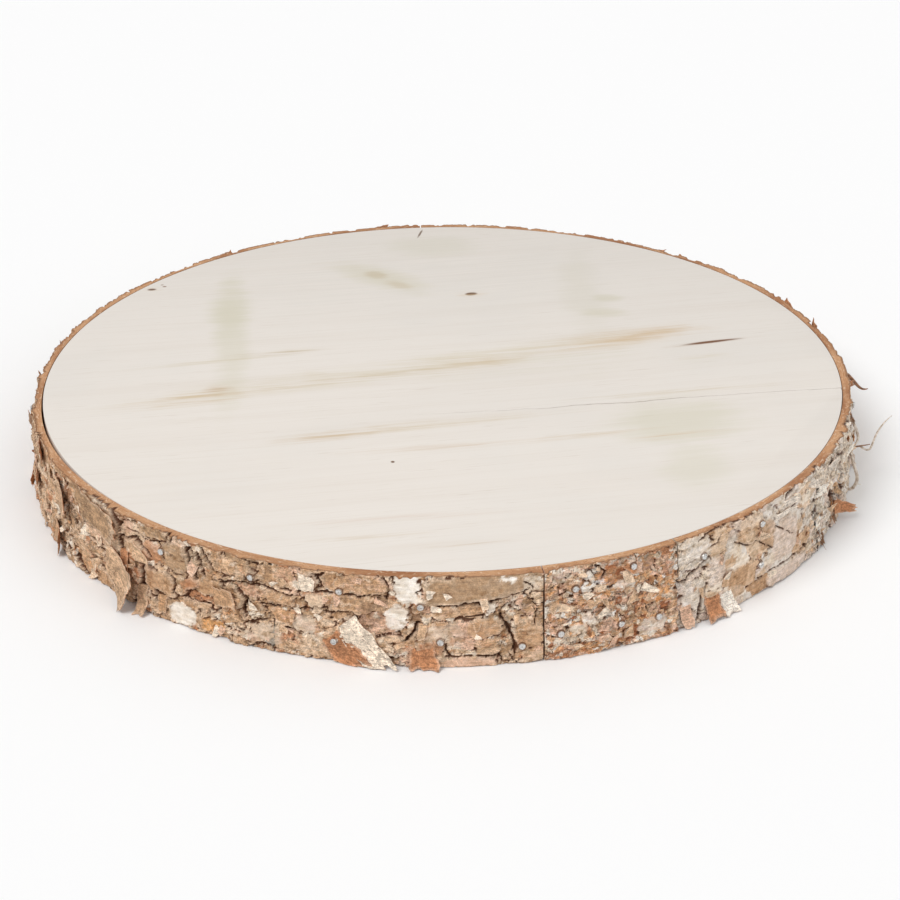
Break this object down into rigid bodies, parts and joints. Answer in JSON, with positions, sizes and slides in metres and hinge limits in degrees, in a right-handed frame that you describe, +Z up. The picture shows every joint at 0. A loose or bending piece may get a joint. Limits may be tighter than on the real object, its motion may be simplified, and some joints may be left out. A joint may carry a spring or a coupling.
{
  "type": "bark-edged wood slice",
  "caption": "Flat round table slice: a pale sawn wood disc edged with strips of rough birch bark held on by small wire nails.",
  "frame": {"origin": "centre of the disc's underside", "axes": "+Z up through the disc, from the underside to the top face; -Y towards the short filler strip's side, which is the front"},
  "size_m": [0.4044, 0.4046, 0.042],
  "materials": {
    "pale_wood": "sawn and sanded, unfinished",
    "birch_bark": "rough outer bark in papery layers",
    "nail_steel": "plain wire"
  },
  "bodies": {
    "root": {"wood_disc": "pale_wood", "bark_strip_left": "birch_bark", "bark_filler_strip": "birch_bark", "bark_strip_right": "birch_bark", "nail_01": "nail_steel", "nail_02": "nail_steel", "nail_03": "nail_steel", "nail_04": "nail_steel", "nail_05": "nail_steel", "nail_06": "nail_steel", "nail_07": "nail_steel", "nail_08": "nail_steel", "nail_09": "nail_steel", "nail_10": "nail_steel", "nail_11": "nail_steel", "nail_12": "nail_steel", "nail_13": "nail_steel", "nail_14": "nail_steel", "nail_15": "nail_steel", "nail_16": "nail_steel", "nail_17": "nail_steel", "nail_18": "nail_steel", "nail_19": "nail_steel", "nail_20": "nail_steel", "nail_21": "nail_steel", "nail_22": "nail_steel", "nail_23": "nail_steel", "nail_24": "nail_steel", "nail_25": "nail_steel", "nail_26": "nail_steel", "nail_27": "nail_steel", "nail_28": "nail_steel", "nail_29": "nail_steel", "nail_30": "nail_steel", "nail_31": "nail_steel", "nail_32": "nail_steel", "nail_33": "nail_steel", "nail_34": "nail_steel", "nail_35": "nail_steel", "nail_36": "nail_steel", "nail_37": "nail_steel", "nail_38": "nail_steel", "nail_39": "nail_steel", "nail_40": "nail_steel", "nail_41": "nail_steel", "nail_42": "nail_steel", "nail_43": "nail_steel", "nail_44": "nail_steel"}
  },
  "joints": []
}
